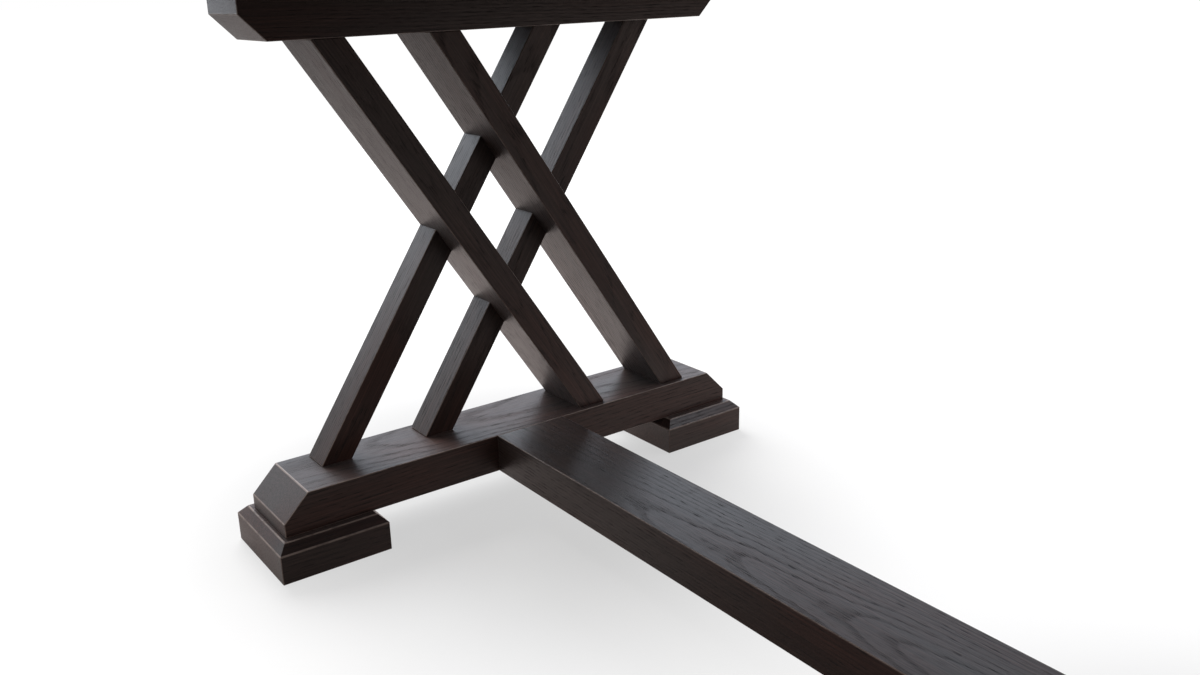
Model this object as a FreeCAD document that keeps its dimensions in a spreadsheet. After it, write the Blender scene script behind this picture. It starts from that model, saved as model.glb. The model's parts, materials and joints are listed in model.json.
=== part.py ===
import FreeCAD, Part

import os
import re

import Sketcher

# Trestle dining table: a plank top on two lattice trestles joined by one low stretcher.
# Millimetres. +X runs along the table, +Y across it and +Z up. The origin is on the floor
# under the middle of the top. A trestle is drawn about its own middle, with +X towards the
# stretcher, and the right-hand trestle is the same one turned half round.

board_count = 6
half_turn = 180

sizes = {
    # The whole table
    "table_length": 1830,
    "table_width": 915,
    "table_height": 762,
    "end_overhang": 280,
    # Plank top: boards with tongue-and-groove edges
    "top_thickness": 32,
    "plank_edge_round": 1.5,
    "tongue_thickness": 9,
    "tongue_length": 9,
    # Eased edges and glue lines of all the joinery
    "edge_round": 1.2,
    "glue_gap": 0.1,
    "tongue_end_gap": 0.5,
    # Bottom rail, with sloped upper corners
    "bottom_rail_length": 760,
    "bottom_rail_depth": 115,
    "bottom_rail_height": 55,
    "bottom_rail_slope": 36,
    # Top rail, with sloped lower corners
    "top_rail_length": 720,
    "top_rail_depth": 102,
    "top_rail_height": 63,
    "top_rail_slope": 31,
    # Braces: two deep ones lean one way and two shallow ones are let into them from behind
    "brace_width": 37.5,
    "main_brace_depth": 97,
    "cross_brace_depth": 46,
    "brace_spacing": 158.5,
    "brace_foot_offset": 198,
    "brace_head_offset": 175,
    # Loose tenons between the braces and the rails
    "tenon_thickness": 12,
    "main_tenon_width": 64,
    "cross_tenon_width": 26,
    "tenon_reach": 25,
    "tenon_end_gap": 1,
    # Foot blocks, bevelled round the top
    "foot_depth": 159,
    "foot_length": 153,
    "foot_height": 52,
    "foot_bevel": 12,
    "foot_bevel_angle": 45,
    "foot_overhang": 17.5,
    # Wood screws from under each foot block into the rail
    "foot_screw_diameter": 6,
    "foot_screw_head_diameter": 11,
    "foot_screw_head_height": 4,
    "foot_screw_head_gap": 1.5,
    "foot_screw_side_inset": 15.5,
    "foot_screw_end_inset": 22,
    "foot_screw_pocket_depth": 16,
    "foot_screw_tip_gap": 4,
    "foot_screw_recess_width": 4,
    "foot_screw_recess_depth": 2,
    # Stretcher and the connector bolts, barrel nuts and dowels at each end of it
    "stretcher_width": 115,
    "connector_share": 0.19,
    "connector_diameter": 8,
    "connector_head_diameter": 13,
    "connector_head_height": 8,
    "connector_socket_width": 6,
    "connector_socket_depth": 4,
    "connector_tip_overrun": 12,
    "connector_hole_gap": 0.25,
    "connector_washer_diameter": 17,
    "connector_washer_thickness": 1.6,
    "connector_washer_gap": 1.5,
    "barrel_nut_wall": 3,
    "barrel_nut_length": 24,
    "barrel_nut_setback": 45,
    "cover_thickness": 6,
    "cover_gap": 8.4,
    "dowel_share": 0.38,
    "dowel_diameter": 10,
    "dowel_length": 50,
    # Bolts from under each top rail into threaded inserts in the boards, clear of the braces and seams
    "inner_bolt_share": 0.25,
    "outer_bolt_share": 1.25,
    "top_bolt_diameter": 6,
    "top_bolt_head_diameter": 12,
    "top_bolt_head_height": 5,
    "top_bolt_socket_width": 4,
    "top_bolt_socket_depth": 2.5,
    "top_bolt_pocket_depth": 33,
    "top_bolt_slack": 1.5,
    "top_washer_diameter": 18,
    "top_washer_thickness": 1.6,
    "top_washer_gap": 1,
    "top_insert_wall": 3,
    "top_insert_length": 15,
    # Levelling feet, screwed up into the foot blocks
    "leveller_floor_gap": 0.5,
    "leveller_pad_diameter": 40,
    "leveller_pad_height": 7,
    "leveller_pad_round": 1,
    "leveller_socket_diameter": 12,
    "leveller_pad_floor": 3,
    "leveller_collar_width": 17,
    "leveller_collar_height": 5,
    "leveller_seat_gap": 0.5,
    "leveller_stud_diameter": 10,
    "leveller_stud_cover": 9.5,
    "leveller_stud_end_gap": 3.5,
    "leveller_insert_wall": 2,
    "leveller_insert_length": 20,
    "leveller_flange_rim": 4,
    "leveller_flange_thickness": 2,
    "leveller_recess_gap": 3,
    "running_gap": 0.05,
}

# Levels and places that follow from the driving sizes
worked_out = {
    "top_underside": "table_height - top_thickness",
    "brace_head_level": "top_underside - top_rail_height",
    "brace_foot_level": "foot_height + bottom_rail_height",
    "brace_height": "brace_head_level - brace_foot_level",
    "brace_run": "brace_foot_offset + brace_head_offset",
    "brace_slice": "brace_width * sqrt(brace_run ^ 2 + brace_height ^ 2) / brace_height",
    "cross_brace_front": "cross_brace_depth - main_brace_depth / 2",
    "tenon_shift": "brace_run * tenon_reach / 2 / brace_height",
    "foot_centre": "bottom_rail_length / 2 + foot_overhang - foot_length / 2",
    "foot_screw_side": "bottom_rail_depth / 2 - foot_screw_side_inset",
    "foot_screw_outer": "bottom_rail_length / 2 - foot_screw_end_inset",
    "foot_screw_inner": "foot_centre - foot_length / 2 + foot_screw_end_inset",
    "foot_screw_pocket_diameter": "foot_screw_head_diameter + 2 * foot_screw_head_gap",
    "foot_screw_tip": "brace_foot_level - tenon_reach - tenon_end_gap - foot_screw_tip_gap",
    "connector_level": "foot_height + bottom_rail_height / 2",
    "connector_place": "connector_share * stretcher_width",
    "dowel_place": "dowel_share * stretcher_width",
    "connector_pocket_diameter": "connector_washer_diameter + 2 * connector_washer_gap",
    "connector_stack": "connector_head_height + connector_washer_thickness",
    "connector_pocket_depth": "cover_thickness + cover_gap + connector_stack",
    "connector_seat": "connector_pocket_depth - bottom_rail_depth / 2",
    "connector_head_seat": "connector_seat - connector_washer_thickness",
    "barrel_nut_diameter": "connector_diameter + 2 * barrel_nut_wall",
    "barrel_nut_place": "bottom_rail_depth / 2 + barrel_nut_setback",
    "trestle_spacing": "table_length - 2 * end_overhang",
    "stretcher_length": "trestle_spacing - bottom_rail_depth",
    "board_width": f"table_width / {board_count}",
    "inner_top_bolt": "inner_bolt_share * board_width",
    "outer_top_bolt": "outer_bolt_share * board_width",
    "top_bolt_hole_diameter": "top_bolt_diameter + 2 * top_bolt_slack",
    "top_bolt_pocket_diameter": "top_washer_diameter + 2 * top_washer_gap",
    "top_insert_diameter": "top_bolt_diameter + 2 * top_insert_wall",
    "top_bolt_seat": "brace_head_level + top_bolt_pocket_depth",
    "leveller_collar_level": "leveller_floor_gap + leveller_pad_height",
    "leveller_stud_level": "leveller_collar_level + leveller_collar_height",
    "leveller_flange_level": "leveller_stud_level + leveller_seat_gap",
    "leveller_recess_depth": "leveller_flange_level + leveller_flange_thickness",
    "leveller_recess_diameter": "leveller_pad_diameter + 2 * leveller_recess_gap",
    "leveller_socket_depth": "leveller_pad_height - leveller_pad_floor",
    "leveller_insert_diameter": "leveller_stud_diameter + 2 * leveller_insert_wall",
    "leveller_flange_diameter": "leveller_insert_diameter + 2 * leveller_flange_rim",
    "leveller_stud_top": "foot_height - leveller_stud_cover",
    "leveller_bore_top": "leveller_stud_top + leveller_stud_end_gap",
}

doc = FreeCAD.newDocument("trestle_table")
sheet = doc.addObject("Spreadsheet::Sheet", "Sizes")
names = set(sizes) | set(worked_out)


def fill_sheet():
    cells = {name: str(number) for name, number in sizes.items()}
    cells.update({name: "=" + formula for name, formula in worked_out.items()})
    for row, (name, content) in enumerate(cells.items(), start=1):
        sheet.set(f"A{row}", name)
        sheet.set(f"B{row}", content)
        sheet.setAlias(f"B{row}", name)
    doc.recompute()


def bound(formula):
    """The formula with each size's name pointing at its cell."""
    return re.sub(r"[a-z_]+", lambda word: f"Sizes.{word[0]}" if word[0] in names else word[0], formula)


def value(formula):
    return float(sheet.evalExpression(bound(formula)))


# Bodies, sketches and features


def new_body(label):
    return doc.addObject("PartDesign::Body", label)


def new_trestle_body(name):
    body = new_body(f"left_{name}")
    body.setExpression("Placement.Base.x", bound("-trestle_spacing / 2"))
    return body


def turn_round(piece):
    """The right-hand trestle's copy of a piece: turned half round, so front and back change places."""
    swapped = {"left": "right", "front": "back", "back": "front"}
    body = new_body("_".join(swapped.get(word, word) for word in piece.Label.split("_")))
    clone = body.newObject("PartDesign::FeatureBase", f"{body.Name}_clone")
    clone.BaseFeature = piece
    body.Tip = clone
    body.Placement = FreeCAD.Placement(FreeCAD.Vector(), FreeCAD.Vector(0, 0, 1), half_turn)
    body.setExpression("Placement.Base.x", bound("trestle_spacing / 2"))
    return body


def new_sketch(body, role, level="0"):
    """An empty sketch parallel to one of the body's origin planes, at a level along its normal."""
    sketch = body.newObject("Sketcher::SketchObject", f"{body.Name}_sketch")
    plane = next(feature for feature in body.Origin.OriginFeatures if feature.Role == role)
    sketch.AttachmentSupport = [(plane, "")]
    sketch.MapMode = "FlatFace"
    sketch.setExpression("AttachmentOffset.Base.z", bound(level))
    return sketch


def constrain(sketch, formula, kind, *what):
    row = sketch.addConstraint(Sketcher.Constraint(kind, *what, value(formula)))
    sketch.setExpression(f"Constraints[{row}]", bound(formula))


def pin(sketch, geometry, point, across, up):
    """Hold a point of the sketch at two distances from its origin."""
    constrain(sketch, across, "DistanceX", -1, 1, geometry, point)
    constrain(sketch, up, "DistanceY", -1, 1, geometry, point)


def spot(across, up):
    return FreeCAD.Vector(value(across), value(up), 0)


def draw_outline(sketch, corners):
    first = sketch.GeometryCount
    count = len(corners)
    for index in range(count):
        start = spot(*corners[index])
        end = spot(*corners[(index + 1) % count])
        sketch.addGeometry(Part.LineSegment(start, end))
    for index, (across, up) in enumerate(corners):
        following = (index + 1) % count
        sketch.addConstraint(Sketcher.Constraint("Coincident", first + index, 2, first + following, 1))
        pin(sketch, first + index, 1, across, up)


def draw_rectangle(sketch, left, right, low, high):
    draw_outline(sketch, [(left, low), (right, low), (right, high), (left, high)])


def draw_circles(sketch, centres, radius):
    for across, up in centres:
        circle = Part.Circle(spot(across, up), FreeCAD.Vector(0, 0, 1), value(radius))
        index = sketch.addGeometry(circle)
        pin(sketch, index, 3, across, up)
        constrain(sketch, radius, "Radius", index)


def draw_hexagons(sketch, centres, width):
    """Hexagons of a width across flats, with two corners level with the centre."""
    for across, up in centres:
        corners = []
        for corner in range(6):
            angle = f"{corner * 60} deg"
            reach = f"({width}) / 2 / cos(30 deg)"
            corners.append((f"{across} + {reach} * cos({angle})", f"{up} + {reach} * sin({angle})"))
        draw_outline(sketch, corners)


def draw_slots(sketch, centres, half_length, radius):
    """Slots along the sketch's first axis, straight between two round ends."""
    for across, up in centres:
        left = f"{across} - (({half_length}) - ({radius}))"
        right = f"{across} + (({half_length}) - ({radius}))"
        low = f"{up} - ({radius})"
        high = f"{up} + ({radius})"
        reach = FreeCAD.Vector(value(radius), 0, 0)
        lower = sketch.addGeometry(Part.LineSegment(spot(left, low), spot(right, low)))
        right_side = spot(right, up) + reach
        right_end = sketch.addGeometry(Part.Arc(spot(right, low), right_side, spot(right, high)))
        upper = sketch.addGeometry(Part.LineSegment(spot(right, high), spot(left, high)))
        left_side = spot(left, up) - reach
        left_end = sketch.addGeometry(Part.Arc(spot(left, high), left_side, spot(left, low)))
        ring = [lower, right_end, upper, left_end]
        for index, piece in enumerate(ring):
            sketch.addConstraint(Sketcher.Constraint("Coincident", piece, 2, ring[(index + 1) % 4], 1))
        pin(sketch, lower, 1, left, low)
        pin(sketch, lower, 2, right, low)
        pin(sketch, upper, 1, right, high)
        pin(sketch, upper, 2, left, high)
        constrain(sketch, right, "DistanceX", -1, 1, right_end, 3)
        constrain(sketch, left, "DistanceX", -1, 1, left_end, 3)


def add_pad(body, sketch, length, symmetric=False, taper=None):
    pad = body.newObject("PartDesign::Pad", f"{body.Name}_pad")
    pad.Profile = sketch
    pad.setExpression("Length", bound(length))
    if symmetric:
        pad.SideType = "Symmetric"
    if taper:
        pad.setExpression("TaperAngle", bound(taper))
    doc.recompute()


def add_cut(body, sketch, depth, forward=False):
    """A pocket against the sketch's normal, or along it when forward."""
    before = body.Shape.Volume
    pocket = body.newObject("PartDesign::Pocket", f"{body.Name}_pocket")
    pocket.Profile = sketch
    pocket.setExpression("Length", bound(depth))
    pocket.Reversed = forward
    doc.recompute()
    if not body.Shape.Volume < before:
        raise ValueError(f"a pocket in {body.Label} removes nothing")


def add_counterbore(body, sketch, diameter, depth, pocket_diameter, pocket_depth, forward=False):
    before = body.Shape.Volume
    hole = body.newObject("PartDesign::Hole", f"{body.Name}_hole")
    hole.Profile = sketch
    doc.recompute()
    hole.DepthType = "Dimension"
    hole.DrillPoint = "Flat"
    hole.HoleCutType = "Counterbore"
    hole.HoleCutCustomValues = True
    hole.Reversed = forward
    hole.setExpression("Diameter", bound(diameter))
    hole.setExpression("Depth", bound(depth))
    hole.setExpression("HoleCutDiameter", bound(pocket_diameter))
    hole.setExpression("HoleCutDepth", bound(pocket_depth))
    doc.recompute()
    if not body.Shape.Volume < before:
        raise ValueError(f"a hole in {body.Label} removes nothing")


def ease_edges(body, radius):
    """Round every edge that the body has so far."""
    fillet = body.newObject("PartDesign::Fillet", f"{body.Name}_fillet")
    fillet.Base = (body.Group[-2], [""])
    fillet.UseAllEdges = True
    fillet.setExpression("Radius", bound(radius))
    doc.recompute()


# Places that several pieces share

both_ways = ("-1", "1")
brace_kinds = ("main", "cross")
feet = {"front": "-1", "back": "1"}


def brace_line(kind, shift):
    """Where a brace's middle line meets the bottom rail and the top rail, across the table."""
    mirrored = {"main": "1", "cross": "-1"}[kind]
    foot = f"{mirrored} * (brace_foot_offset + {shift} * brace_spacing / 2)"
    head = f"{mirrored} * (-brace_head_offset + {shift} * brace_spacing / 2)"
    return foot, head


def brace_outline(kind, shift):
    foot, head = brace_line(kind, shift)
    return [
        (f"{foot} - brace_slice / 2", "brace_foot_level"),
        (f"{foot} + brace_slice / 2", "brace_foot_level"),
        (f"{head} + brace_slice / 2", "brace_head_level"),
        (f"{head} - brace_slice / 2", "brace_head_level"),
    ]


def tenon_place(kind, shift, end):
    """A tenon's middle: half its reach into the leaning brace, it is on the brace's middle line."""
    foot, head = brace_line(kind, shift)
    lean = {"main": "-1", "cross": "1"}[kind]
    across = {"foot": f"{foot} + {lean} * tenon_shift", "head": f"{head} - ({lean}) * tenon_shift"}[end]
    along = {"main": "0", "cross": "cross_brace_front - cross_brace_depth / 2"}[kind]
    return along, across


def tenon_size(kind, gap):
    return f"{kind}_tenon_width / 2 + {gap}", f"tenon_thickness / 2 + {gap}"


def draw_tenons(sketch, end, gap):
    for kind in brace_kinds:
        places = [tenon_place(kind, shift, end) for shift in both_ways]
        draw_slots(sketch, places, *tenon_size(kind, gap))


connectors = [(f"{way} * connector_place", "connector_level") for way in both_ways]
dowels = [(f"{way} * dowel_place", "connector_level") for way in both_ways]
top_bolts = [
    ("0", f"{way} * {place}")
    for place in ("inner_top_bolt", "outer_top_bolt")
    for way in both_ways
]


def foot_screws(way):
    return [
        (f"{along} * foot_screw_side", f"{way} * {across}")
        for along in both_ways
        for across in ("foot_screw_outer", "foot_screw_inner")
    ]


def foot_middle(way):
    return ("0", f"{way} * foot_centre")


# The top


def insert_places(low, high):
    """Threaded inserts that reach into a strip of the top, as seen from above."""
    reach = value("top_insert_diameter / 2 + glue_gap")
    places = []
    for end in both_ways:
        for _, across in top_bolts:
            if value(low) - reach < value(across) < value(high) + reach:
                places.append((f"{end} * trestle_spacing / 2", across))
    return places


def make_board(number):
    body = new_body(f"top_board_{number}")
    low = f"(-table_width / 2 + {number - 1} * board_width)"
    high = f"(-table_width / 2 + {number} * board_width)"
    middle = "top_underside + top_thickness / 2"
    plank = new_sketch(body, "YZ_Plane")
    draw_rectangle(plank, low, high, "top_underside", "table_height")
    add_pad(body, plank, "table_length", symmetric=True)
    ease_edges(body, "plank_edge_round")
    if number < board_count:
        tongue = new_sketch(body, "YZ_Plane")
        half = "tongue_thickness / 2"
        root = f"{high} - tongue_length"
        draw_rectangle(tongue, root, f"{high} + tongue_length", f"{middle} - {half}", f"{middle} + {half}")
        add_pad(body, tongue, "table_length - 2 * plank_edge_round", symmetric=True)
    if number > 1:
        groove = new_sketch(body, "YZ_Plane", "-table_length / 2")
        half = "(tongue_thickness / 2 + glue_gap)"
        depth = "(tongue_length + tongue_end_gap)"
        draw_rectangle(groove, low, f"{low} + {depth}", f"{middle} - {half}", f"{middle} + {half}")
        add_cut(body, groove, "table_length", forward=True)
    places = insert_places(low, high)
    if places:
        holes = new_sketch(body, "XY_Plane", "top_underside")
        draw_circles(holes, places, "top_insert_diameter / 2 + glue_gap")
        add_cut(body, holes, "top_insert_length", forward=True)
    return body


# One trestle


def make_top_rail():
    body = new_trestle_body("top_rail")
    end = "top_rail_length / 2"
    flat = "top_rail_length / 2 - top_rail_slope"
    profile = new_sketch(body, "YZ_Plane")
    draw_outline(profile, [
        (f"-({flat})", "brace_head_level"),
        (flat, "brace_head_level"),
        (end, "brace_head_level + top_rail_slope"),
        (end, "top_underside"),
        (f"-({end})", "top_underside"),
        (f"-({end})", "brace_head_level + top_rail_slope"),
    ])
    add_pad(body, profile, "top_rail_depth", symmetric=True)
    ease_edges(body, "edge_round")
    mortises = new_sketch(body, "XY_Plane", "brace_head_level")
    draw_tenons(mortises, "head", "glue_gap")
    add_cut(body, mortises, "tenon_reach + tenon_end_gap", forward=True)
    bolts = new_sketch(body, "XY_Plane", "brace_head_level")
    draw_circles(bolts, top_bolts, "top_bolt_hole_diameter / 2")
    add_counterbore(body, bolts, "top_bolt_hole_diameter", "top_rail_height",
                    "top_bolt_pocket_diameter", "top_bolt_pocket_depth", forward=True)
    return body


def make_bottom_rail():
    body = new_trestle_body("bottom_rail")
    end = "bottom_rail_length / 2"
    flat = "bottom_rail_length / 2 - bottom_rail_slope"
    profile = new_sketch(body, "YZ_Plane")
    draw_outline(profile, [
        (f"-({end})", "foot_height"),
        (end, "foot_height"),
        (end, "brace_foot_level - bottom_rail_slope"),
        (flat, "brace_foot_level"),
        (f"-({flat})", "brace_foot_level"),
        (f"-({end})", "brace_foot_level - bottom_rail_slope"),
    ])
    add_pad(body, profile, "bottom_rail_depth", symmetric=True)
    ease_edges(body, "edge_round")
    mortises = new_sketch(body, "XY_Plane", "brace_foot_level")
    draw_tenons(mortises, "foot", "glue_gap")
    add_cut(body, mortises, "tenon_reach + tenon_end_gap")
    bolts = new_sketch(body, "YZ_Plane", "-bottom_rail_depth / 2")
    draw_circles(bolts, connectors, "connector_diameter / 2 + connector_hole_gap")
    add_counterbore(body, bolts, "connector_diameter + 2 * connector_hole_gap", "bottom_rail_depth",
                    "connector_pocket_diameter", "connector_pocket_depth", forward=True)
    pegs = new_sketch(body, "YZ_Plane", "bottom_rail_depth / 2")
    draw_circles(pegs, dowels, "dowel_diameter / 2 + glue_gap")
    add_cut(body, pegs, "dowel_length / 2")
    pilots = new_sketch(body, "XY_Plane", "foot_height")
    for way in feet.values():
        draw_circles(pilots, foot_screws(way), "foot_screw_diameter / 2 + glue_gap")
    add_cut(body, pilots, "foot_screw_tip - foot_height", forward=True)
    return body


def make_brace(kind, number):
    shift = both_ways[number - 1]
    body = new_trestle_body(f"{kind}_brace_{number}")
    depth = f"{kind}_brace_depth"
    profile = new_sketch(body, "YZ_Plane", "-main_brace_depth / 2")
    draw_outline(profile, brace_outline(kind, shift))
    add_pad(body, profile, depth)
    ease_edges(body, "edge_round")
    if kind == "main":
        for crossing in both_ways:
            notch = new_sketch(body, "YZ_Plane", "-main_brace_depth / 2")
            draw_outline(notch, brace_outline("cross", crossing))
            add_cut(body, notch, "cross_brace_depth", forward=True)
    for end, level, upward in (("foot", "brace_foot_level", True), ("head", "brace_head_level", False)):
        mortise = new_sketch(body, "XY_Plane", level)
        draw_slots(mortise, [tenon_place(kind, shift, end)], *tenon_size(kind, "glue_gap"))
        add_cut(body, mortise, "tenon_reach + tenon_end_gap", forward=upward)
    return body


def make_tenons():
    body = new_trestle_body("brace_tenons")
    for end in ("foot", "head"):
        profile = new_sketch(body, "XY_Plane", f"brace_{end}_level - tenon_reach")
        draw_tenons(profile, end, "0")
        add_pad(body, profile, "2 * tenon_reach")
    return body


def make_foot(end, way):
    body = new_trestle_body(f"{end}_foot")
    near = f"{way} * foot_centre - foot_length / 2"
    far = f"{way} * foot_centre + foot_length / 2"
    outline = ("-foot_depth / 2", "foot_depth / 2", near, far)
    block = new_sketch(body, "XY_Plane")
    draw_rectangle(block, *outline)
    add_pad(body, block, "foot_height - foot_bevel")
    bevel = new_sketch(body, "XY_Plane", "foot_height - foot_bevel")
    draw_rectangle(bevel, *outline)
    add_pad(body, bevel, "foot_bevel", taper="-foot_bevel_angle")
    ease_edges(body, "edge_round")
    for radius, depth in (
        ("leveller_recess_diameter / 2", "leveller_recess_depth"),
        ("leveller_insert_diameter / 2 + glue_gap", "leveller_recess_depth + leveller_insert_length"),
        ("leveller_stud_diameter / 2 + leveller_seat_gap", "leveller_bore_top"),
    ):
        bore = new_sketch(body, "XY_Plane")
        draw_circles(bore, [foot_middle(way)], radius)
        add_cut(body, bore, depth, forward=True)
    screws = new_sketch(body, "XY_Plane")
    draw_circles(screws, foot_screws(way), "foot_screw_diameter / 2 + glue_gap")
    add_counterbore(body, screws, "foot_screw_diameter + 2 * glue_gap", "foot_height",
                    "foot_screw_pocket_diameter", "foot_screw_pocket_depth", forward=True)
    return body


def make_foot_screws():
    body = new_trestle_body("foot_screws")
    places = [place for way in feet.values() for place in foot_screws(way)]
    shanks = new_sketch(body, "XY_Plane", "foot_screw_pocket_depth")
    draw_circles(shanks, places, "foot_screw_diameter / 2")
    add_pad(body, shanks, "foot_screw_tip - foot_screw_pocket_depth")
    heads = new_sketch(body, "XY_Plane", "foot_screw_pocket_depth - foot_screw_head_height")
    draw_circles(heads, places, "foot_screw_head_diameter / 2")
    add_pad(body, heads, "foot_screw_head_height")
    recesses = new_sketch(body, "XY_Plane", "foot_screw_pocket_depth - foot_screw_head_height")
    draw_hexagons(recesses, places, "foot_screw_recess_width")
    add_cut(body, recesses, "foot_screw_recess_depth", forward=True)
    return body


def make_connector_bolts():
    body = new_trestle_body("stretcher_bolts")
    shanks = new_sketch(body, "YZ_Plane", "connector_head_seat")
    draw_circles(shanks, connectors, "connector_diameter / 2")
    add_pad(body, shanks, "barrel_nut_place + connector_tip_overrun - connector_head_seat")
    heads = new_sketch(body, "YZ_Plane", "connector_head_seat - connector_head_height")
    draw_circles(heads, connectors, "connector_head_diameter / 2")
    add_pad(body, heads, "connector_head_height")
    sockets = new_sketch(body, "YZ_Plane", "connector_head_seat - connector_head_height")
    draw_hexagons(sockets, connectors, "connector_socket_width")
    add_cut(body, sockets, "connector_socket_depth", forward=True)
    return body


def make_connector_washers():
    body = new_trestle_body("stretcher_washers")
    rings = new_sketch(body, "YZ_Plane", "connector_head_seat")
    draw_circles(rings, connectors, "connector_washer_diameter / 2")
    draw_circles(rings, connectors, "connector_diameter / 2 + connector_hole_gap")
    add_pad(body, rings, "connector_washer_thickness")
    return body


def make_barrel_nuts():
    body = new_trestle_body("barrel_nuts")
    places = [("barrel_nut_place", across) for across, _ in connectors]
    barrels = new_sketch(body, "XY_Plane", "connector_level - barrel_nut_length / 2")
    draw_circles(barrels, places, "barrel_nut_diameter / 2")
    add_pad(body, barrels, "barrel_nut_length")
    threads = new_sketch(body, "YZ_Plane", "barrel_nut_place - barrel_nut_diameter")
    draw_circles(threads, connectors, "connector_diameter / 2 + glue_gap")
    add_cut(body, threads, "2 * barrel_nut_diameter", forward=True)
    return body


def make_bolt_covers():
    body = new_trestle_body("bolt_covers")
    discs = new_sketch(body, "YZ_Plane", "-bottom_rail_depth / 2")
    draw_circles(discs, connectors, "connector_pocket_diameter / 2 - glue_gap")
    add_pad(body, discs, "cover_thickness")
    return body


def make_dowels():
    body = new_trestle_body("stretcher_dowels")
    pegs = new_sketch(body, "YZ_Plane", "bottom_rail_depth / 2 - dowel_length / 2")
    draw_circles(pegs, dowels, "dowel_diameter / 2")
    add_pad(body, pegs, "dowel_length")
    return body


def make_top_bolts():
    body = new_trestle_body("top_bolts")
    seat = "top_bolt_seat - top_washer_thickness"
    shanks = new_sketch(body, "XY_Plane", seat)
    draw_circles(shanks, top_bolts, "top_bolt_diameter / 2")
    add_pad(body, shanks, f"top_underside + top_insert_length - ({seat})")
    heads = new_sketch(body, "XY_Plane", f"{seat} - top_bolt_head_height")
    draw_circles(heads, top_bolts, "top_bolt_head_diameter / 2")
    add_pad(body, heads, "top_bolt_head_height")
    sockets = new_sketch(body, "XY_Plane", f"{seat} - top_bolt_head_height")
    draw_hexagons(sockets, top_bolts, "top_bolt_socket_width")
    add_cut(body, sockets, "top_bolt_socket_depth", forward=True)
    return body


def make_top_washers():
    body = new_trestle_body("top_washers")
    rings = new_sketch(body, "XY_Plane", "top_bolt_seat - top_washer_thickness")
    draw_circles(rings, top_bolts, "top_washer_diameter / 2")
    draw_circles(rings, top_bolts, "top_bolt_diameter / 2 + glue_gap")
    add_pad(body, rings, "top_washer_thickness")
    return body


def make_top_inserts():
    body = new_trestle_body("top_inserts")
    rings = new_sketch(body, "XY_Plane", "top_underside")
    draw_circles(rings, top_bolts, "top_insert_diameter / 2")
    draw_circles(rings, top_bolts, "top_bolt_diameter / 2 + glue_gap")
    add_pad(body, rings, "top_insert_length")
    return body


# Levelling feet


def make_leveller_inserts():
    body = new_trestle_body("leveller_inserts")
    places = [foot_middle(way) for way in feet.values()]
    for level, radius, height in (
        ("leveller_flange_level", "leveller_flange_diameter / 2", "leveller_flange_thickness"),
        ("leveller_recess_depth", "leveller_insert_diameter / 2", "leveller_insert_length"),
    ):
        ring = new_sketch(body, "XY_Plane", level)
        draw_circles(ring, places, radius)
        draw_circles(ring, places, "leveller_stud_diameter / 2 + running_gap")
        add_pad(body, ring, height)
    return body


def make_leveller_pad(end, way):
    body = new_trestle_body(f"{end}_leveller_pad")
    disc = new_sketch(body, "XY_Plane", "leveller_floor_gap")
    draw_circles(disc, [foot_middle(way)], "leveller_pad_diameter / 2")
    add_pad(body, disc, "leveller_pad_height")
    ease_edges(body, "leveller_pad_round")
    socket = new_sketch(body, "XY_Plane", "leveller_collar_level")
    draw_circles(socket, [foot_middle(way)], "leveller_socket_diameter / 2 + running_gap")
    add_cut(body, socket, "leveller_socket_depth")
    return body


def make_leveller_stud(end, way):
    body = new_trestle_body(f"{end}_leveller_stud")
    spigot = new_sketch(body, "XY_Plane", "leveller_collar_level - leveller_socket_depth")
    draw_circles(spigot, [foot_middle(way)], "leveller_socket_diameter / 2")
    add_pad(body, spigot, "leveller_socket_depth")
    collar = new_sketch(body, "XY_Plane", "leveller_collar_level")
    draw_hexagons(collar, [foot_middle(way)], "leveller_collar_width")
    add_pad(body, collar, "leveller_collar_height")
    stud = new_sketch(body, "XY_Plane", "leveller_stud_level")
    draw_circles(stud, [foot_middle(way)], "leveller_stud_diameter / 2")
    add_pad(body, stud, "leveller_stud_top - leveller_stud_level")
    return body


def make_trestle():
    pieces = [make_top_rail(), make_bottom_rail()]
    for kind in brace_kinds:
        for number in (1, 2):
            pieces.append(make_brace(kind, number))
    for end, way in feet.items():
        pieces.append(make_foot(end, way))
        pieces.append(make_leveller_pad(end, way))
        pieces.append(make_leveller_stud(end, way))
    for make in (make_tenons, make_foot_screws, make_connector_bolts, make_connector_washers,
                 make_barrel_nuts, make_bolt_covers, make_dowels, make_top_bolts, make_top_washers,
                 make_top_inserts, make_leveller_inserts):
        pieces.append(make())
    return pieces


# The stretcher


def make_stretcher():
    body = new_body("stretcher")
    profile = new_sketch(body, "YZ_Plane")
    side = "stretcher_width / 2"
    draw_rectangle(profile, f"-{side}", side, "foot_height", "brace_foot_level")
    add_pad(body, profile, "stretcher_length", symmetric=True)
    ease_edges(body, "edge_round")
    for end, inward in (("-1", True), ("1", False)):
        face = f"{end} * stretcher_length / 2"
        bolts = new_sketch(body, "YZ_Plane", face)
        draw_circles(bolts, connectors, "connector_diameter / 2 + connector_hole_gap")
        add_cut(body, bolts, "barrel_nut_setback + 2 * connector_tip_overrun", forward=inward)
        pegs = new_sketch(body, "YZ_Plane", face)
        draw_circles(pegs, dowels, "dowel_diameter / 2 + glue_gap")
        add_cut(body, pegs, "dowel_length / 2", forward=inward)
    nuts = new_sketch(body, "XY_Plane", "foot_height")
    places = [
        (f"{end} * (stretcher_length / 2 - barrel_nut_setback)", across)
        for end in both_ways
        for across, _ in connectors
    ]
    draw_circles(nuts, places, "barrel_nut_diameter / 2 + glue_gap")
    add_cut(body, nuts, "(bottom_rail_height + barrel_nut_length) / 2", forward=True)
    return body


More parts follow.
